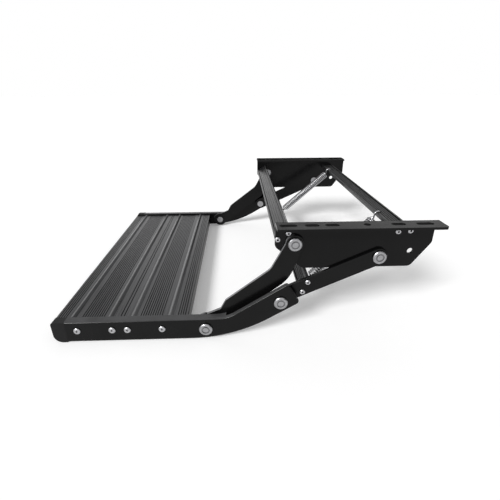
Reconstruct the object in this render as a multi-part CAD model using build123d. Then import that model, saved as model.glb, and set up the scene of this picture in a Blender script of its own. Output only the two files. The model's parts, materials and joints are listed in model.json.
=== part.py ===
from build123d import *
import os
from math import acos, atan2, cos, degrees, hypot, radians, sin

# Pull-out entry step for a caravan door, drawn in its extended position.
# X runs across the vehicle, -Y points out towards the person stepping up, +Z is up.
# The origin lies in the mounting plane, midway between the two round locating holes.
# Every outline of a plate or link is a list of (Y, Z) corners. Sizes are millimetres.

# Folded sheet steel
sheet = 4.0
fold_radius = 1.5

# Side brackets
plate_spacing = 505.4
flange_reach = 35.3
flange_front = 134.5
flange_rear = 115.5
flange_corner = 4.0
plate_depth = 78.0
plate_front_edge = 40.2
plate_rear_edge = 37.0
plate_front_chamfer = 44.1
plate_rear_chamfer = 28.3
plate_rear_setback = 2.9
plate_corner = 10.0

# Holes in the flanges, measured from the locating holes
hole_line = 19.3
slot_width = 10.0
long_slot = 26.5
long_slot_places = (-117.0, 86.5)
short_slot = 21.5
short_slot_places = (-82.0, -52.0, 46.5)
travel_hole_radius = 4.75
travel_hole = (80.4, -51.2)

# Four-bar linkage: pivots of one side as (Y, Z)
front_bracket_pivot = (-103.8, -34.1)
rear_bracket_pivot = (30.4, -58.4)
front_tread_pivot = (-246.8, -176.1)
rear_tread_pivot = (-124.8, -128.6)
link_sheet = 5.0
washer_thickness = 0.5
washer_radius = 11.0
tread_standoff = 12.0
bush_radius = 9.0

# Rivets of the pivots
rivet_radius = 6.0
running_clearance = 0.05
end_play = 0.1
rivet_head_radius = 10.8
rivet_head_height = 3.8
rivet_ring_radius = 6.6
rivet_ring_depth = 1.0
tail_head_radius = 8.5
tail_head_height = 3.0

# Links
rear_link_width = 28.0
front_link_top_radius = 14.5
front_link_foot_radius = 18.0
edge_round = 0.9

# Crossbar extrusion, used for both crossbars and the link tie
bar_width = 27.0
bar_height = 8.0
bar_corner = 1.2
bar_trough_width = 20.0
bar_trough_depth = 1.8
bar_rib = 1.2
bar_rib_height = 0.9
bar_rib_places = (-6.0, -2.0, 2.0, 6.0)
bar_hollow_width = 9.0
bar_hollow_depth = 3.2
port_spacing = 19.2
port_radius = 2.4
front_bar_place = (-121.9, -23.1)
front_bar_tilt = 31.7
rear_bar_place = (65.4, -17.4)
rear_bar_tilt = 3.0
tie_distance = 125.5
tie_tilt = 66.1

# Screws into the extrusions
screw_clearance = 0.1
screw_length = 16.0
screw_head_radius = 4.3
tread_screw_head_radius = 5.5
screw_head_height = 2.4
screw_head_chamfer = 1.0
socket_radius = 1.8
socket_depth = 1.4
cross_length = 4.4
cross_width = 1.1

# Tread side plates
tread_top = -158.0
tread_bottom = -196.2
tread_side_bend = -213.0
tail_top = (-113.2, -94.5)
tail_end = (-93.2, -130.2)
tail_top_bend = 60.0
tail_bottom_bend_place = -202.5
tail_bottom_bend = 250.0
tail_end_radius = 6.0
tread_flange_gap = 0.4
tread_side_round = 3.2
tail_lip = 7.0
nose_length = 21.1
nose_setback = 1.3
nose_round = 14.0
nose_edge = 4.0

# Tread planks, mirrored about their joint; distances run outward from the joint
plank_joint = -386.5
plank_depth = 110.0
plank_height = 20.0
plank_skin = 3.0
plank_wall = 2.5
plank_edge_radius = 1.5
plank_gap = 0.1
plank_port_places = (12.3, 68.5)
plank_port_drop = 12.0
plank_port_boss = 4.6
plank_rib_place = 40.0
ridge_places = (19.0, 80.6)
ridge_width = 9.5
ridge_top_width = 1.6
ridge_height = 2.4
joint_groove_place = 2.6
fine_groove_width = 1.6
fine_groove_depth = 1.1
inner_groove_first = 30.5
inner_groove_count = 10
outer_groove_first = 92.7
outer_groove_count = 4
groove_pitch = 3.9

# Tension springs
spring_radius = 8.5
spring_wire = 2.8
spring_pitch = 6.0
spring_upper_gap = 11.0
spring_lower_gap = 25.5
hook_radius = 6.1
hook_place = 11.75
hook_end_angle = 40.0
spring_right_setbacks = (75.7, 12.7)
spring_left_setbacks = (70.7, 123.7)

# Layers across the step, from the middle outward
plate_inner = plate_spacing / 2
plate_outer = plate_inner + sheet
link_inner = plate_outer + washer_thickness
link_outer = link_inner + link_sheet
tread_side_inner = link_outer + tread_standoff
tread_side_outer = tread_side_inner + sheet
tread_flange_edge = link_outer + tread_flange_gap

# Places along the tread that follow from its planks
nose_front = plank_joint - plank_depth + nose_setback
tread_side_front = nose_front + nose_length


def outline(corners, radii):
    """Closed face in the YZ plane from (Y, Z) corners, each with its own rounding."""
    return make_face(FilletPolyline(*corners, radius=radii, close=True).edges())


def across(face, start, thickness):
    """Solid of a YZ outline, from X = start outward."""
    return extrude(Plane.YZ.offset(start) * face, thickness)


def rod(place, radius, start, length):
    """Round bar along X at the given (Y, Z)."""
    return across(Pos(*place) * Circle(radius), start, length)


def both_sides(right):
    """The right piece and its mirror image."""
    return [right, mirror(right, about=Plane.YZ)]


def offset_from(place, angle, distance):
    """The (Y, Z) point at a distance from another, along an angle in degrees."""
    return (place[0] + distance * cos(radians(angle)), place[1] + distance * sin(radians(angle)))


def bracket_right():
    """Folded bracket: a side plate with the mounting flange turned outward along its top."""
    fold_outside = fold_radius + sheet
    plate_rear = flange_rear - plate_rear_setback
    angle = make_face(FilletPolyline(
        (plate_inner, 0), (plate_inner + flange_reach, 0), (plate_inner + flange_reach, -sheet),
        (plate_outer, -sheet), (plate_outer, -plate_depth), (plate_inner, -plate_depth),
        radius=[fold_outside, 0, 0, fold_radius, 0, 0], close=True).edges())
    blank = extrude(Plane.XZ.offset(-flange_rear) * angle, flange_front + flange_rear)
    side = outline(
        [(-flange_front, 0), (-flange_front, -plate_front_edge),
         (-flange_front + plate_front_chamfer, -plate_depth), (plate_rear - plate_rear_chamfer, -plate_depth),
         (plate_rear, -plate_rear_edge), (plate_rear, -sheet), (flange_rear, -sheet), (flange_rear, 0)],
        [0, plate_corner, plate_corner, plate_corner, plate_corner, 0, 0, 0])
    bracket = blank & across(side, plate_inner, flange_reach)
    edges = bracket.edges().filter_by(Axis.Z).group_by(Axis.X)[-1]
    bracket = fillet(edges, flange_corner)
    for place in (front_bracket_pivot, rear_bracket_pivot):
        bracket -= rod(place, rivet_radius, plate_inner, sheet)
    bracket -= rod(travel_hole, travel_hole_radius, plate_inner, sheet)
    for bar in (front_bar_ports(), rear_bar_ports()):
        for place in bar:
            bracket -= rod(place, port_radius + screw_clearance, plate_inner, sheet)
    return bracket - flange_holes()


def flange_holes():
    """Slots and the round locating hole of the right flange."""
    x = plate_inner + hole_line
    holes = Pos(x, 0) * Circle(slot_width / 2)
    for y in long_slot_places:
        holes += Pos(x, y) * SlotOverall(long_slot, slot_width, rotation=90)
    for y in short_slot_places:
        holes += Pos(x, y) * SlotOverall(short_slot, slot_width, rotation=90)
    return extrude(holes, -sheet)


def bar_section():
    """Crossbar extrusion: two lips, a ribbed trough, a hollow back and two screw ports."""
    section = RectangleRounded(bar_width, bar_height, bar_corner)
    trough_floor = bar_height / 2 - bar_trough_depth
    section -= Pos(0, bar_height / 2 - bar_trough_depth / 2) * Rectangle(bar_trough_width, bar_trough_depth)
    for u in bar_rib_places:
        section += Pos(u, trough_floor + bar_rib_height / 2) * Rectangle(bar_rib, bar_rib_height)
    section -= Pos(0, -bar_height / 2 + bar_hollow_depth / 2) * Rectangle(bar_hollow_width, bar_hollow_depth)
    for u in (-port_spacing / 2, port_spacing / 2):
        section -= Pos(u, 0) * Circle(port_radius)
    return section


def crossbar(place, tilt, half_length):
    """Length of the extrusion along X, its lips turned up and tilted back about X."""
    section = Pos(*place) * Rot(0, 0, tilt) * bar_section()
    return across(section, -half_length, 2 * half_length)


def ports(place, tilt):
    """The two (Y, Z) port centres of a crossbar."""
    return [offset_from(place, tilt, side * port_spacing / 2) for side in (-1, 1)]


def front_bar_ports():
    return ports(front_bar_place, front_bar_tilt)


def rear_bar_ports():
    return ports(rear_bar_place, rear_bar_tilt)


def tie_place():
    """Centre of the link tie, on the rear link's centre line."""
    return offset_from(rear_bracket_pivot, rear_link_angle(), tie_distance)


def rear_link_angle():
    dy = rear_tread_pivot[0] - rear_bracket_pivot[0]
    dz = rear_tread_pivot[1] - rear_bracket_pivot[1]
    return degrees(atan2(dz, dy))


def hex_socket():
    return RegularPolygon(socket_radius, 6)


def cross_recess():
    return Rectangle(cross_length, cross_width) + Rectangle(cross_width, cross_length)


def screw(place, seat, head_radius, recess):
    """Button head on a plate whose outer face is at X = seat, shank running inward into a port."""
    head = rod(place, head_radius, seat, screw_head_height)
    head = chamfer(head.edges().group_by(Axis.X)[-1], screw_head_chamfer)
    head -= across(Pos(*place) * recess, seat + screw_head_height - socket_depth, socket_depth)
    return head + rod(place, port_radius - screw_clearance / 2, seat - screw_length, screw_length)


def screws(places, seat, head_radius, recess):
    """The same screws on both sides."""
    group = []
    for place in places:
        group += both_sides(screw(place, seat, head_radius, recess))
    return group


def rivet_head(place, seat):
    """Shouldered rivet head with a pressed ring, outward from X = seat."""
    head = rod(place, rivet_head_radius, seat, rivet_head_height)
    head = chamfer(head.edges().group_by(Axis.X)[-1], rivet_ring_depth)
    ring_start = seat + rivet_head_height - rivet_ring_depth
    ring = rod(place, rivet_ring_radius, ring_start, rivet_ring_depth)
    return head - (ring - rod(place, rivet_ring_radius - 2 * rivet_ring_depth, ring_start, rivet_ring_depth))


def bracket_rivet(place):
    """Upper pivot: head over the link, shank through link and bracket, tail head behind the bracket."""
    head_seat = link_outer + end_play
    tail = plate_inner - tail_head_height
    rivet = rivet_head(place, head_seat) + rod(place, rivet_radius, plate_inner, head_seat - plate_inner)
    return rivet + rod(place, tail_head_radius, tail, tail_head_height)


def bracket_washer(place):
    ring = Pos(*place) * (Circle(washer_radius) - Circle(rivet_radius + running_clearance))
    return across(ring, plate_outer, washer_thickness)


def rounded_blade(shape):
    """Link blank, pressed so that its outer edge is rounded."""
    blade = across(shape, link_inner, link_sheet)
    return fillet(blade.edges().group_by(Axis.X)[-1], edge_round)


def rear_link():
    """Straight bar with round ends, bored for its two pivots and the tie screws."""
    middle = offset_from(rear_bracket_pivot, rear_link_angle(), rear_link_length() / 2)
    shape = SlotCenterToCenter(rear_link_length(), rear_link_width)
    link = rounded_blade(Pos(*middle) * Rot(0, 0, rear_link_angle()) * shape)
    for place in (rear_bracket_pivot, rear_tread_pivot):
        link -= rod(place, rivet_radius + running_clearance, link_inner, link_sheet)
    for place in ports(tie_place(), tie_tilt):
        link -= rod(place, port_radius + screw_clearance, link_inner, link_sheet)
    return link


def rear_link_length():
    return hypot(rear_tread_pivot[0] - rear_bracket_pivot[0], rear_tread_pivot[1] - rear_bracket_pivot[1])


def front_link():
    """Curved blade: a round top, a bulging back, a hooked neck and a round foot."""
    ay, az = front_bracket_pivot
    cy, cz = front_tread_pivot
    blade = outline(
        [(ay - front_link_top_radius, az), (ay - 36.7, az - 42.7), (cy + 33.3, cz + 43.5),
         (cy + 24.8, cz + 27.6), (cy + 2.0, cz + front_link_foot_radius), (cy, cz),
         (cy + 10.9, cz - 14.3), (ay - 6.9, az - 61.8), (ay + front_link_top_radius, az)],
        [0, 30, 6, 5, 0, 0, 0, 60, 0])
    blade += Pos(ay, az) * Circle(front_link_top_radius)
    blade += Pos(cy, cz) * Circle(front_link_foot_radius)
    link = rounded_blade(blade)
    for place in (front_bracket_pivot, front_tread_pivot):
        link -= rod(place, rivet_radius + running_clearance, link_inner, link_sheet)
    return link


def tread_side_outline():
    """Tread side plate with its tail rising to the rear pivot."""
    return outline(
        [(tread_side_front, tread_top), (tread_side_bend, tread_top), tail_top, tail_end,
         (tail_bottom_bend_place, tread_bottom), (tread_side_front, tread_bottom)],
        [0, tail_top_bend, tail_end_radius, tail_end_radius, tail_bottom_bend, 0])


def top_band(face):
    """The strip of the side plate within one sheet thickness of its upper edge, short of the tail's end."""
    end = Pos(tail_top[0], tail_end[1]) * Rectangle(tread_side_inner, tread_side_inner, align=(Align.MIN, Align.CENTER))
    return face - Pos(0, -sheet) * face - end


def fold_edges(side):
    """The outer edges of the side plate that lie above its middle line, where the flange and lip fold in."""
    slope = (tail_top[1] - tread_top) / (tail_top[0] - tread_side_bend)
    middle = (tread_top + tread_bottom) / 2
    edges = side.edges().group_by(Axis.X)[-1]
    return [e for e in edges if e.center().Z > middle + slope * max(0, e.center().Y - tread_side_bend)]


def tread_side_right():
    """Web with a wide flange over the planks and a narrow lip along the tail."""
    face = tread_side_outline()
    web = across(face, tread_side_inner, sheet)
    band = top_band(face)
    over_planks = band & Pos((tread_side_front + tread_side_bend) / 2, tread_top) * Rectangle(
        tread_side_bend - tread_side_front, 4 * sheet)
    flange = across(over_planks, tread_flange_edge, tread_side_inner - tread_flange_edge)
    lip = across(band, tread_side_inner - tail_lip + sheet, tail_lip - sheet)
    side = web + flange + lip
    side = fillet(fold_edges(side), tread_side_round)
    for place in (front_tread_pivot, rear_tread_pivot):
        side -= rod(place, rivet_radius, tread_side_inner, sheet)
    for place in plank_port_centres():
        side -= rod(place, port_radius + screw_clearance, tread_side_inner, sheet)
    return side


def plank_top():
    return tread_top - sheet


def plank_port_centres():
    """The (Y, Z) centres of the four screw ports of the two planks."""
    drop = plank_top() - plank_port_drop
    places = [(plank_joint - u, drop) for u in plank_port_places]
    return places + [(plank_joint + u, drop) for u in plank_port_places]


def groove_places():
    inner = [inner_groove_first + i * groove_pitch for i in range(inner_groove_count)]
    outer = [outer_groove_first + i * groove_pitch for i in range(outer_groove_count)]
    return [joint_groove_place] + inner + outer


def plank_section():
    """Plank profile running out from the joint along +u, top skin at zero height."""
    start = plank_gap / 2
    box = outline([(start, 0), (plank_depth, 0), (plank_depth, -plank_height), (start, -plank_height)],
                  [0, plank_edge_radius, plank_edge_radius, 0])
    inner = outline([(start + plank_wall, -plank_skin), (plank_depth - plank_wall, -plank_skin),
                     (plank_depth - plank_wall, -plank_height), (start + plank_wall, -plank_height)], [0, 0, 0, 0])
    section = box - inner
    for u in (*plank_port_places, plank_rib_place):
        section += Pos(u, -plank_height / 2) * Rectangle(plank_wall, plank_height)
    for u in plank_port_places:
        section += Pos(u, -plank_port_drop) * Circle(plank_port_boss)
    for u in plank_port_places:
        section -= Pos(u, -plank_port_drop) * Circle(port_radius)
    for u in groove_places():
        section -= Pos(u, -fine_groove_depth / 2) * Rectangle(fine_groove_width, fine_groove_depth)
    return section


def ridge_section():
    """The two raised tread ridges, standing on the top skin."""
    ridges = Sketch()
    for u in ridge_places:
        ridges += outline(
            [(u - ridge_width / 2, 0), (u + ridge_width / 2, 0),
             (u + ridge_top_width / 2, ridge_height), (u - ridge_top_width / 2, ridge_height)], [0, 0, 0, 0])
    return ridges


def plank(corner_notch):
    """Plank facing +Y: grooved from side plate to side plate, its ridges stopping at the flanges."""
    body = across(plank_section(), -tread_side_inner, 2 * tread_side_inner)
    body += across(ridge_section(), -tread_flange_edge, 2 * tread_flange_edge)
    if corner_notch:
        length = nose_length + nose_setback
        notch = Pos(plank_depth - length / 2, -plank_height / 2) * Rectangle(length, 2 * plank_height)
        for side in both_sides(across(notch, tread_flange_edge, tread_side_outer - tread_flange_edge)):
            body -= side
    return body


def tread_rear_plank():
    return Pos(0, plank_joint, plank_top()) * plank(False)


def tread_front_plank():
    return Pos(0, plank_joint, plank_top()) * mirror(plank(True), about=Plane.XZ)


def tread_nose_right():
    """Cap that closes the front corner between the web, the flange and the planks' rounded front."""
    cap = outline(
        [(tread_side_front, tread_top), (nose_front, tread_top), (nose_front, tread_bottom),
         (tread_side_front, tread_bottom)],
        [0, nose_edge, nose_round, 0])
    return across(cap, tread_flange_edge, tread_side_outer - tread_flange_edge)


def tread_rivet(place, inner_end):
    """Lower pivot: head on the tread side plate, shank through the bush, ending at X = inner_end."""
    length = tread_side_outer - inner_end
    return rivet_head(place, tread_side_outer) + rod(place, rivet_radius, inner_end, length)


def rear_tread_rivet():
    """Rear lower pivot, running in the rear link with a tail head behind it."""
    tail_end_face = link_inner - end_play
    tail = rod(rear_tread_pivot, tail_head_radius, tail_end_face - tail_head_height, tail_head_height)
    return tread_rivet(rear_tread_pivot, tail_end_face) + tail


def tread_bush(place):
    """Spacer bush that stands the tread side plate off the link."""
    ring = Pos(*place) * (Circle(bush_radius) - Circle(rivet_radius))
    start = link_outer + end_play
    return across(ring, start, tread_side_inner - start)


def front_link_stud():
    """Inner half of the front lower pivot, seated in the foot of the front link."""
    tail = rod(front_tread_pivot, tail_head_radius, link_inner - tail_head_height, tail_head_height)
    return tail + rod(front_tread_pivot, rivet_radius, link_inner, link_sheet)


def on_bar(place, tilt, u, w):
    """The (Y, Z) point at (u, w) in the section of a crossbar, u along its width and w up from its middle."""
    return offset_from(offset_from(place, tilt, u), tilt + 90, w)


def hook_centre(place, tilt):
    """The (Y, Z) middle of the lower lip of a crossbar."""
    return on_bar(place, tilt, -hook_place, 0)


def spring_wire_along(edge):
    return sweep(Plane(origin=edge @ 0, z_dir=edge % 0) * Circle(spring_wire / 2), path=edge)


def hook(place, tilt, x, coil_end):
    """Wire from the coil's end round the lip of a crossbar, in the plane at x, its tip down in the trough."""
    centre = hook_centre(place, tilt)
    dy = coil_end.Y - centre[0]
    dz = coil_end.Z - centre[1]
    seen_from_lip = (degrees(atan2(dz, dy)) - tilt) % 360
    first = seen_from_lip - degrees(acos(hook_radius / hypot(dy, dz)))
    angles = (first, (first + hook_end_angle) / 2, hook_end_angle)
    bend = [Vector(x, *offset_from(centre, tilt + angle, hook_radius)) for angle in angles]
    leg = spring_wire_along(Edge.make_line(coil_end, bend[0]))
    return leg + spring_wire_along(Edge.make_three_point_arc(*bend)) + Pos(*bend[0]) * Sphere(spring_wire / 2)


def coil(turns):
    """Close coil standing on the origin, its wire drawn as ribs."""
    root = spring_radius - spring_wire
    points = [(0, 0)]
    for turn in range(turns):
        points.append((root, turn * spring_pitch))
        points.append((spring_radius, (turn + 0.5) * spring_pitch))
    points += [(root, turns * spring_pitch), (0, turns * spring_pitch)]
    return revolve(Plane.XZ * make_face(Polyline(*points, close=True).edges()), Axis.Z)


def spring(side, setbacks):
    """Tension spring from the rear crossbar's front lip to the tie's lower lip, set back from a side's plate."""
    upper_across, lower_across = [side * (plate_inner - setback) for setback in setbacks]
    high = Vector(upper_across, *hook_centre(rear_bar_place, rear_bar_tilt))
    low = Vector(lower_across, *hook_centre(tie_place(), tie_tilt))
    line = (high - low).normalized()
    start = low + line * spring_lower_gap
    turns = int(((high - start).length - spring_upper_gap) / spring_pitch)
    end = start + line * turns * spring_pitch
    body = Plane(origin=start, z_dir=line) * coil(turns)
    body += hook(tie_place(), tie_tilt, lower_across, start)
    return body + hook(rear_bar_place, rear_bar_tilt, upper_across, end)


def build():
    front_bar = crossbar(front_bar_place, front_bar_tilt, plate_inner)
    rear_bar = crossbar(rear_bar_place, rear_bar_tilt, plate_inner)
    tie = crossbar(tie_place(), tie_tilt, link_inner)
    pieces = {
        "front_crossbar": front_bar,
        "rear_crossbar": rear_bar,
        "link_tie": tie,
        "crossbar_screws": screws(
            front_bar_ports() + rear_bar_ports(), plate_outer, screw_head_radius, hex_socket()),
        "tie_screws": screws(
            ports(tie_place(), tie_tilt), link_outer, screw_head_radius, hex_socket()),
        "tread_screws": screws(
            plank_port_centres(), tread_side_outer, tread_screw_head_radius, cross_recess()),
        "front_bracket_rivets": both_sides(bracket_rivet(front_bracket_pivot)),
        "rear_bracket_rivets": both_sides(bracket_rivet(rear_bracket_pivot)),
        "bracket_washers": both_sides(bracket_washer(front_bracket_pivot))
        + both_sides(bracket_washer(rear_bracket_pivot)),
        "rear_tread_rivets": both_sides(rear_tread_rivet()),
        "front_tread_rivets": both_sides(tread_rivet(front_tread_pivot, link_outer + tread_flange_gap)),
        "rear_tread_bushes": both_sides(tread_bush(rear_tread_pivot)),
        "front_tread_bushes": both_sides(tread_bush(front_tread_pivot)),
        "front_link_studs": both_sides(front_link_stud()),
        "tread_front_plank": tread_front_plank(),
        "tread_rear_plank": tread_rear_plank(),
        "spring_right": spring(1, spring_right_setbacks),
        "spring_left": spring(-1, spring_left_setbacks),
    }
    for name, make in (
        ("bracket", bracket_right), ("front_link", front_link), ("rear_link", rear_link),
        ("tread_side", tread_side_right), ("tread_nose", tread_nose_right),
    ):
        right, left = both_sides(make())
        pieces[name + "_right"] = right
        pieces[name + "_left"] = left
    return pieces


def save(pieces):
    os.makedirs("parts", exist_ok=True)
    for name, piece in pieces.items():
        solids = piece if isinstance(piece, list) else [piece]
        export_step(Compound([s for shape in solids for s in shape.solids()]), f"parts/{name}.step")


save(build())
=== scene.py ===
import json
from math import acos, atan2, cos, hypot, pi, radians, sin

import bpy
from mathutils import Matrix, Vector


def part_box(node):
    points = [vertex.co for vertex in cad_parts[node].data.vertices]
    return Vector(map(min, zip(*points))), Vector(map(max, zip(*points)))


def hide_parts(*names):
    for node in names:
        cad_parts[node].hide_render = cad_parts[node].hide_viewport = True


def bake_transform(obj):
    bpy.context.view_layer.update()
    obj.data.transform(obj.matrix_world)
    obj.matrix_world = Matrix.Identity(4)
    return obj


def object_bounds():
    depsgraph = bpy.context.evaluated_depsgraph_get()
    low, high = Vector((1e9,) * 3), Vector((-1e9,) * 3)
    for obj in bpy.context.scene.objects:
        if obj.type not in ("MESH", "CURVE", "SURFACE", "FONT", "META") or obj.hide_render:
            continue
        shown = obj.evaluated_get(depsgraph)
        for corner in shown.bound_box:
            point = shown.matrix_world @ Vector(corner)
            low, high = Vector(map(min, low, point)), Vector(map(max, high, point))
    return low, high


# CAD nodes whose front edge gets a painted highlight
highlighted_links = ("front_link_right", "front_link_left")

# Camera of the photograph, in metres and degrees
camera_place = Vector((0.745, -0.1884, 0.1798))
camera_turn = 2.05
camera_drop = 24.66
camera_roll = -0.2
camera_lens = 24.96
camera_shift = (-0.0024, -0.0004)

# Tilt of the two extrusions that the springs hook on
rear_bar_tilt = radians(3.0)
tie_tilt = radians(66.1)

# Springs: X of the upper and the lower hook, and the hooks' place on a lip of the extrusion
spring_across = {"right": (0.177, 0.240), "left": (-0.182, -0.129)}
spring_wire = 0.0028
spring_radius = 0.0085
spring_pitch = 0.0043
spring_upper_gap = 0.0110
spring_lower_gap = 0.0255
hook_radius = 0.0061
hook_place = 0.01175
hook_end = radians(40.0)

# Tread: height of its ridges, and the painted shade on the floors of its grooves: how far it fades in and how
# dark it is
ridge_height = 0.0024
groove_shade_fade = 0.0008
groove_shade_tone = 0.05

# Floor, and the cards that the gloss reflects, as (middle, width, height, turn about Z in degrees, glow)
floor_size = 60.0
floor_drop = 0.0005
floor_white = 0.9
floor_glow = 0.19
card_black = 0.01
dark_cards = (((0.2, 1.6, 0.5), 4.0, 1.6, 0), ((-2.2, 1.0, 0.25), 2.7, 1.1, 90),
              ((-2.5, 0.2, 2.45), 1.6, 2.0, 90), ((-2.5, -2.4, 2.0), 2.0, 2.2, 90, 0.55))
bright_cards = (((-2.2, -2.2, 0.1), 2.4, 0.6, -53, 1.9), ((1.1, -2.4, 1.4), 1.2, 1.0, 25, 4.5))

# Painted highlight on the paint: the direction that the lit faces look in, and how much lighter they are.
# Faces count from the first cosine to that direction, and fully from the second.
# Painted sheen on up-facing faces, as on the tread sides' flange tops.
top_painted_sheen = ((0.0, 0.0, 1.0), 20.0)
# Painted highlight on edges that face forward and up, as on the front links.
edge_painted_highlight = ((0.0, -0.8, 0.6), 60.0)
highlight_cosines = (0.6, 0.9)

# Textures: the part of the noise's range that is used, the scales of the marks, and the depth of the grain
gloss_noise = (0.3, 0.7)
tone_noise = (0.35, 0.65)
blue_tint = 1.03
patch_scale = 30.0
peel_scale = 900.0
metal_mark_scale = 260.0
drawn_mark_scale = 400.0
drawn_stretch = (0.03, 1, 1)
drawn_grain = 0.15
grain_depth = 0.0001

# Lowest and highest tone and roughness of each finish, as shares of its own value
paint_range = (0.85, 1.15)
metal_tone_range = (0.88, 1.1)
metal_gloss_range = (0.8, 1.2)
anodised_tone_range = (0.8, 1.2)
anodised_gloss_range = (0.85, 1.15)

# Refraction of the paint, how far off walls make a recess take painted shade, and how dark the extrusions'
# painted shade is
paint_ior = 1.25
metal_shade_reach = 0.003
anodised_shade_reach = 0.004
anodised_shade_power = 1.5

# Light: the soft key's direction from the object, its width in degrees and strength, and the world's strength
key_from = (0.645, -0.509, 0.571)
key_width = 18.0
key_strength = 3.0
world_light = 0.40


def shader(name):
    """A new material and its nodes, links and main shader."""
    material = bpy.data.materials.new(name)
    material.use_nodes = True
    tree = material.node_tree
    return material, tree, tree.nodes["Principled BSDF"]


def noise(tree, scale, detail=4.0, stretch=(1, 1, 1)):
    """Noise over the object's own coordinates, stretched along its axes."""
    place = tree.nodes.new("ShaderNodeTexCoord")
    turn = tree.nodes.new("ShaderNodeMapping")
    turn.inputs["Scale"].default_value = stretch
    texture = tree.nodes.new("ShaderNodeTexNoise")
    texture.inputs["Scale"].default_value = scale
    texture.inputs["Detail"].default_value = detail
    tree.links.new(place.outputs["Object"], turn.inputs["Vector"])
    tree.links.new(turn.outputs["Vector"], texture.inputs["Vector"])
    return texture.outputs["Fac"]


def spread(tree, value, level, ends):
    """A number that follows a texture between two shares of a level."""
    node = tree.nodes.new("ShaderNodeMapRange")
    node.inputs["From Min"].default_value = gloss_noise[0]
    node.inputs["From Max"].default_value = gloss_noise[1]
    node.inputs["To Min"].default_value = level * ends[0]
    node.inputs["To Max"].default_value = level * ends[1]
    tree.links.new(value, node.inputs["Value"])
    return node.outputs["Result"]


def tones(tree, value, tone, ends):
    """A grey that follows a texture between two shares of a tone."""
    ramp = tree.nodes.new("ShaderNodeValToRGB")
    for i in range(2):
        grey = tone * ends[i]
        ramp.color_ramp.elements[i].position = tone_noise[i]
        ramp.color_ramp.elements[i].color = (grey, grey, grey * blue_tint, 1)
    tree.links.new(value, ramp.inputs["Fac"])
    return ramp.outputs["Color"]


def bump(tree, main, value, strength):
    """Fine grain on the surface, its height from a texture."""
    node = tree.nodes.new("ShaderNodeBump")
    node.inputs["Strength"].default_value = strength
    node.inputs["Distance"].default_value = grain_depth
    tree.links.new(value, node.inputs["Height"])
    tree.links.new(node.outputs["Normal"], main.inputs["Normal"])


def scaled(tree, colour, factor):
    """The colour times a number."""
    product = tree.nodes.new("ShaderNodeVectorMath")
    product.operation = "SCALE"
    tree.links.new(colour, product.inputs[0])
    tree.links.new(factor, product.inputs["Scale"])
    return product.outputs["Vector"]


def painted_recess_shade(tree, colour, depth, power):
    """The colour, made darker in narrow recesses by an occlusion node: painted shade."""
    room = tree.nodes.new("ShaderNodeAmbientOcclusion")
    room.inputs["Distance"].default_value = depth
    raised = tree.nodes.new("ShaderNodeMath")
    raised.operation = "POWER"
    raised.inputs[1].default_value = power
    tree.links.new(room.outputs["AO"], raised.inputs[0])
    return scaled(tree, colour, raised.outputs[0])


def painted_facing_light(tree, colour, facing, gain):
    """The colour, made lighter on faces that look in one direction of the object: a painted highlight."""
    place = tree.nodes.new("ShaderNodeTexCoord")
    product = tree.nodes.new("ShaderNodeVectorMath")
    product.operation = "DOT_PRODUCT"
    product.inputs[1].default_value = facing
    rise = tree.nodes.new("ShaderNodeMapRange")
    rise.inputs["From Min"].default_value = highlight_cosines[0]
    rise.inputs["From Max"].default_value = highlight_cosines[1]
    rise.inputs["To Min"].default_value = 1.0
    rise.inputs["To Max"].default_value = gain
    tree.links.new(place.outputs["Normal"], product.inputs[0])
    tree.links.new(product.outputs["Value"], rise.inputs["Value"])
    return scaled(tree, colour, rise.outputs["Result"])


def paint(name, tone, gloss, grain, facing_highlight=None):
    """Black powder coat with a slight orange peel."""
    material, tree, main = shader(name)
    main.inputs["IOR"].default_value = paint_ior
    patches = noise(tree, patch_scale)
    colour = tones(tree, patches, tone, paint_range)
    # Painted highlight: faces that look one way are made lighter.
    if facing_highlight is not None:
        colour = painted_facing_light(tree, colour, *facing_highlight)
    tree.links.new(colour, main.inputs["Base Color"])
    tree.links.new(spread(tree, patches, gloss, paint_range), main.inputs["Roughness"])
    bump(tree, main, noise(tree, peel_scale, 2.0), grain)
    return material


def metal(name, tone, rough, grain, recess_shade_power):
    """Plated metal with fine marks, and painted shade in its recesses."""
    material, tree, main = shader(name)
    main.inputs["Metallic"].default_value = 1.0
    marks = noise(tree, metal_mark_scale, 5.0)
    # Painted shade: recesses are made darker.
    colour = painted_recess_shade(tree, tones(tree, marks, tone, metal_tone_range), metal_shade_reach, recess_shade_power)
    tree.links.new(colour, main.inputs["Base Color"])
    tree.links.new(spread(tree, marks, rough, metal_gloss_range), main.inputs["Roughness"])
    bump(tree, main, marks, grain)
    return material


def below(tree, colour, level, depth, darker):
    """The colour, made darker where the object lies under a level: painted shade on the floor of its grooves.
    """
    place = tree.nodes.new("ShaderNodeTexCoord")
    parts = tree.nodes.new("ShaderNodeSeparateXYZ")
    fade = tree.nodes.new("ShaderNodeMapRange")
    fade.inputs["From Min"].default_value = level - depth
    fade.inputs["From Max"].default_value = level
    fade.inputs["To Min"].default_value = darker
    fade.inputs["To Max"].default_value = 1.0
    tree.links.new(place.outputs["Object"], parts.inputs["Vector"])
    tree.links.new(parts.outputs["Z"], fade.inputs["Value"])
    return scaled(tree, colour, fade.outputs["Result"])


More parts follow.
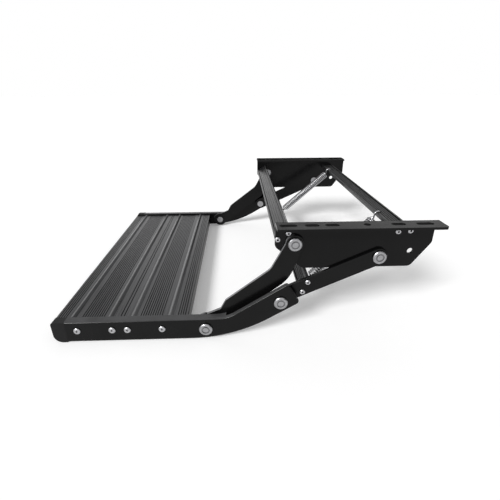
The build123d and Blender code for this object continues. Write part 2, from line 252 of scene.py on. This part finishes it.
def anodised(name, tone, rough, metallic, groove_level=None):
    """Dark anodised extrusion, drawn along X, with painted shade in its recesses and, where a level is given,
    on the floors of its grooves.
    """
    material, tree, main = shader(name)
    main.inputs["Metallic"].default_value = metallic
    marks = noise(tree, drawn_mark_scale, 4.0, drawn_stretch)
    colour = tones(tree, marks, tone, anodised_tone_range)
    # Painted shade on the floors of the grooves.
    if groove_level is not None:
        colour = below(tree, colour, groove_level, groove_shade_fade, groove_shade_tone)
    # Painted shade: recesses are made darker.
    colour = painted_recess_shade(tree, colour, anodised_shade_reach, anodised_shade_power)
    tree.links.new(colour, main.inputs["Base Color"])
    tree.links.new(spread(tree, marks, rough, anodised_gloss_range), main.inputs["Roughness"])
    bump(tree, main, marks, drawn_grain)
    return material


def make_materials():
    """The finish of each slot, and of the front links with their painted edge highlight."""
    # The level under which the tread's groove floors get painted shade.
    tread_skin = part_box("tread_rear_plank")[1].z - ridge_height
    return {
        "bracket": paint("bracket_paint", 0.002, 0.20, 0.10),
        "link": paint("link_paint", 0.003, 0.22, 0.10),
        # The front links get a painted highlight on their front edge.
        "front_link": paint("front_link_highlight_paint", 0.003, 0.22, 0.10, edge_painted_highlight),
        # The tread sides get a painted sheen on their top faces.
        "tread_side": paint("tread_side_paint", 0.003, 0.24, 0.12, top_painted_sheen),
        "nose_cap": paint("nose_cap_plastic", 0.007, 0.48, 0.35),
        "crossbar": anodised("crossbar_anodised", 0.028, 0.28, 0.5),
        "tread": anodised("tread_anodised", 0.080, 0.32, 0.85, tread_skin),
        # The last number of each metal sets how dark its painted shade in recesses is.
        "rivet": metal("rivet_zinc", 0.33, 0.32, 0.10, 1.5),
        "frame_screw": metal("frame_screw_zinc", 0.45, 0.34, 0.08, 5.0),
        "zinc_screw": metal("tread_screw_zinc", 0.45, 0.34, 0.08, 5.0),
        "washer": paint("washer_nylon", 0.020, 0.45, 0.10),
        "bush": paint("bush_black", 0.006, 0.35, 0.10),
        "spring": metal("spring_zinc", 0.42, 0.24, 0.06, 3.0),
    }


def dress(nodes, record, materials):
    """Give each CAD node the finish of its slot, and the front links a painted highlight on their front edge.
    """
    for part in record["subparts"]:
        slot = part["material_slot"]
        if part["node"] in highlighted_links:
            slot = "front_link"
        mesh = nodes[part["node"]].data
        mesh.materials.clear()
        mesh.materials.append(materials[slot])


def middle(node):
    """The centre of a CAD node's box."""
    low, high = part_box(node)
    return (low + high) / 2


def on_bar(node, tilt, across, u, w):
    """The point at (u, w) in the section of an extrusion, at X = across."""
    centre = middle(node)
    y = centre.y + u * cos(tilt) - w * sin(tilt)
    z = centre.z + u * sin(tilt) + w * cos(tilt)
    return Vector((across, y, z))


def hook(node, tilt, across, coil_end, steps=16):
    """Points of an open hook round a lip of an extrusion, from the coil's end to its tip in the trough."""
    centre = on_bar(node, tilt, across, -hook_place, 0.0)
    dy = coil_end.y - centre.y
    dz = coil_end.z - centre.z
    first = (atan2(dz, dy) - tilt) % (2 * pi) - acos(hook_radius / hypot(dy, dz))
    points = [coil_end]
    for i in range(steps + 1):
        angle = first + (hook_end - first) * i / steps
        u = hook_radius * cos(angle) - hook_place
        points.append(on_bar(node, tilt, across, u, hook_radius * sin(angle)))
    return points


def helix(start, end, side, radius, pitch, steps=20):
    """Points of a coil between two places on its axis, tapering in to the axis at both ends."""
    line = (end - start).normalized()
    across = (side - line * side.dot(line)).normalized()
    up = line.cross(across)
    turns = round((end - start).length / pitch)
    taper = 0.75
    points = []
    for i in range(turns * steps + 1):
        turn = i / steps
        closing = min(1.0, turn / taper, (turns - turn) / taper)
        reach = radius * sin(pi / 2 * closing)
        angle = 2 * pi * turn
        on_axis = start + (end - start) * (turn / turns)
        points.append(on_axis + across * reach * cos(angle) + up * reach * sin(angle))
    return points


def tube(name, points, radius, sides=10):
    """Round wire along a list of points, closed at its ends."""
    verts = []
    faces = []
    normal = (points[1] - points[0]).orthogonal().normalized()
    for i, point in enumerate(points):
        ahead = points[min(i + 1, len(points) - 1)] - points[max(i - 1, 0)]
        ahead.normalize()
        normal = (normal - ahead * normal.dot(ahead)).normalized()
        other = ahead.cross(normal)
        for k in range(sides):
            angle = 2 * pi * k / sides
            verts.append(point + normal * radius * cos(angle) + other * radius * sin(angle))
    for i in range(len(points) - 1):
        for k in range(sides):
            a = i * sides + k
            b = i * sides + (k + 1) % sides
            faces.append((a, b, b + sides, a + sides))
    last = (len(points) - 1) * sides
    faces.append(tuple(range(sides))[::-1])
    faces.append(tuple(range(last, last + sides)))
    mesh = bpy.data.meshes.new(name)
    mesh.from_pydata(verts, [], faces)
    mesh.polygons.foreach_set("use_smooth", [True] * len(mesh.polygons))
    obj = bpy.data.objects.new(name, mesh)
    bpy.context.scene.collection.objects.link(obj)
    return obj


def distinct(points, least=0.00005):
    """The points without those that repeat the one before."""
    kept = [points[0]]
    for point in points[1:]:
        if (point - kept[-1]).length > least:
            kept.append(point)
    return kept


def spring(side, material):
    """Tension spring wound from one wire, hooked over the rear crossbar and the link tie."""
    upper, lower = spring_across[side]
    high = on_bar("rear_crossbar", rear_bar_tilt, upper, -hook_place, 0.0)
    low = on_bar("link_tie", tie_tilt, lower, -hook_place, 0.0)
    line = (high - low).normalized()
    start = low + line * spring_lower_gap
    end = high - line * spring_upper_gap
    coil = helix(start, end, Vector((1, 0, 0)), spring_radius - spring_wire / 2, spring_pitch)
    lower_hook = hook("link_tie", tie_tilt, lower, start)[::-1]
    upper_hook = hook("rear_crossbar", rear_bar_tilt, upper, end)
    obj = tube("spring_wire_" + side, distinct(lower_hook + coil + upper_hook), spring_wire / 2)
    obj.data.materials.append(material)
    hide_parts("spring_" + side)
    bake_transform(obj)


def make_floor(level):
    """White floor that shows only the object's shadow, and nothing from below."""
    half = floor_size / 2
    mesh = bpy.data.meshes.new("floor")
    mesh.from_pydata([(-half, -half, level), (half, -half, level), (half, half, level), (-half, half, level)],
                     [], [(0, 1, 2, 3)])
    floor = bpy.data.objects.new("floor", mesh)
    bpy.context.scene.collection.objects.link(floor)
    material = bpy.data.materials.new("floor_white")
    material.use_nodes = True
    tree = material.node_tree
    tree.nodes.remove(tree.nodes["Principled BSDF"])
    diffuse = tree.nodes.new("ShaderNodeBsdfDiffuse")
    diffuse.inputs["Color"].default_value = (floor_white, floor_white, floor_white, 1)
    glow = tree.nodes.new("ShaderNodeEmission")
    glow.inputs["Color"].default_value = (1, 1, 1, 1)
    seen = seen_rays(tree)
    strength = tree.nodes.new("ShaderNodeMath")
    strength.operation = "MULTIPLY"
    strength.inputs[1].default_value = floor_glow
    both = tree.nodes.new("ShaderNodeAddShader")
    tree.links.new(seen, strength.inputs[0])
    tree.links.new(strength.outputs[0], glow.inputs["Strength"])
    tree.links.new(diffuse.outputs[0], both.inputs[0])
    tree.links.new(glow.outputs[0], both.inputs[1])
    clear = tree.nodes.new("ShaderNodeBsdfTransparent")
    side = tree.nodes.new("ShaderNodeNewGeometry")
    surface = tree.nodes.new("ShaderNodeMixShader")
    tree.links.new(side.outputs["Backfacing"], surface.inputs["Fac"])
    tree.links.new(both.outputs[0], surface.inputs[1])
    tree.links.new(clear.outputs[0], surface.inputs[2])
    tree.links.new(surface.outputs[0], tree.nodes["Material Output"].inputs["Surface"])
    mesh.materials.append(material)


def make_card(place, width, height, turn, glow=0.0):
    """Upright card beside the object, black or glowing, which only reflections show."""
    mesh = bpy.data.meshes.new("card")
    x = width / 2
    z = height / 2
    mesh.from_pydata([(-x, 0, -z), (x, 0, -z), (x, 0, z), (-x, 0, z)], [], [(0, 1, 2, 3)])
    card = bpy.data.objects.new("card", mesh)
    card.location = place
    card.rotation_euler = (0, 0, radians(turn))
    bpy.context.scene.collection.objects.link(card)
    material, tree, main = shader("card")
    main.inputs["Base Color"].default_value = (card_black, card_black, card_black, 1)
    main.inputs["Roughness"].default_value = 1.0
    main.inputs["Emission Color"].default_value = (1, 1, 1, 1)
    main.inputs["Emission Strength"].default_value = glow
    mesh.materials.append(material)
    card.visible_camera = False
    card.visible_diffuse = False
    card.visible_shadow = False


def seen_rays(tree):
    """One for camera, glossy and transmission rays, nought for the rest."""
    path = tree.nodes.new("ShaderNodeLightPath")
    total = path.outputs["Is Camera Ray"]
    for name in ("Is Glossy Ray", "Is Transmission Ray"):
        node = tree.nodes.new("ShaderNodeMath")
        node.operation = "MAXIMUM"
        tree.links.new(total, node.inputs[0])
        tree.links.new(path.outputs[name], node.inputs[1])
        total = node.outputs[0]
    return total


def make_world():
    """White to look at and in reflections, a softer white as a light."""
    world = bpy.data.worlds.new("studio")
    bpy.context.scene.world = world
    world.use_nodes = True
    tree = world.node_tree
    background = tree.nodes["Background"]
    background.inputs["Color"].default_value = (1, 1, 1, 1)
    strength = tree.nodes.new("ShaderNodeMapRange")
    strength.inputs["To Min"].default_value = world_light
    strength.inputs["To Max"].default_value = 1.0
    tree.links.new(seen_rays(tree), strength.inputs["Value"])
    tree.links.new(strength.outputs["Result"], background.inputs["Strength"])


def make_lamp():
    """Soft key from the front left of the camera, which throws the shadow to the rear."""
    data = bpy.data.lights.new("key", "SUN")
    data.energy = key_strength
    data.angle = radians(key_width)
    obj = bpy.data.objects.new("key", data)
    obj.location = Vector(key_from) * 3
    obj.rotation_euler = (-Vector(key_from)).to_track_quat("-Z", "Y").to_euler()
    bpy.context.scene.collection.objects.link(obj)


def make_camera():
    """The photograph's camera."""
    turn = radians(camera_turn)
    drop = radians(camera_drop)
    roll = radians(camera_roll)
    ahead = Vector((-cos(drop) * cos(turn), cos(drop) * sin(turn), -sin(drop)))
    right = ahead.cross(Vector((0, 0, 1))).normalized()
    up = right.cross(ahead)
    right, up = right * cos(roll) + up * sin(roll), up * cos(roll) - right * sin(roll)
    data = bpy.data.cameras.new("camera")
    data.lens = camera_lens
    data.sensor_width = 36.0
    data.shift_x, data.shift_y = camera_shift
    data.clip_start = 0.01
    obj = bpy.data.objects.new("camera", data)
    turned = Matrix((right, up, -ahead)).transposed().to_4x4()
    obj.matrix_world = Matrix.Translation(camera_place) @ turned
    bpy.context.scene.collection.objects.link(obj)
    bpy.context.scene.camera = obj


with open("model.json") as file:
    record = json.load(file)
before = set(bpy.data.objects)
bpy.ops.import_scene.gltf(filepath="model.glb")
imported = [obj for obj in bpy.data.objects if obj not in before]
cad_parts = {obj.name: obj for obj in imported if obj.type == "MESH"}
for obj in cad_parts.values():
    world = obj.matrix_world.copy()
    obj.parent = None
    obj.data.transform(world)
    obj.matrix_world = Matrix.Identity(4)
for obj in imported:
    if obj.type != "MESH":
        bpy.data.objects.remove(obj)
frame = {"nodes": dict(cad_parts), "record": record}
cad_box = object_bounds()
materials = make_materials()
dress(frame["nodes"], frame["record"], materials)
for side in spring_across:
    spring(side, materials["spring"])
make_floor(cad_box[0][2] - floor_drop)
for card in dark_cards + bright_cards:
    make_card(*card)
make_world()
make_lamp()
make_camera()
bpy.context.scene.view_settings.view_transform = "Standard"
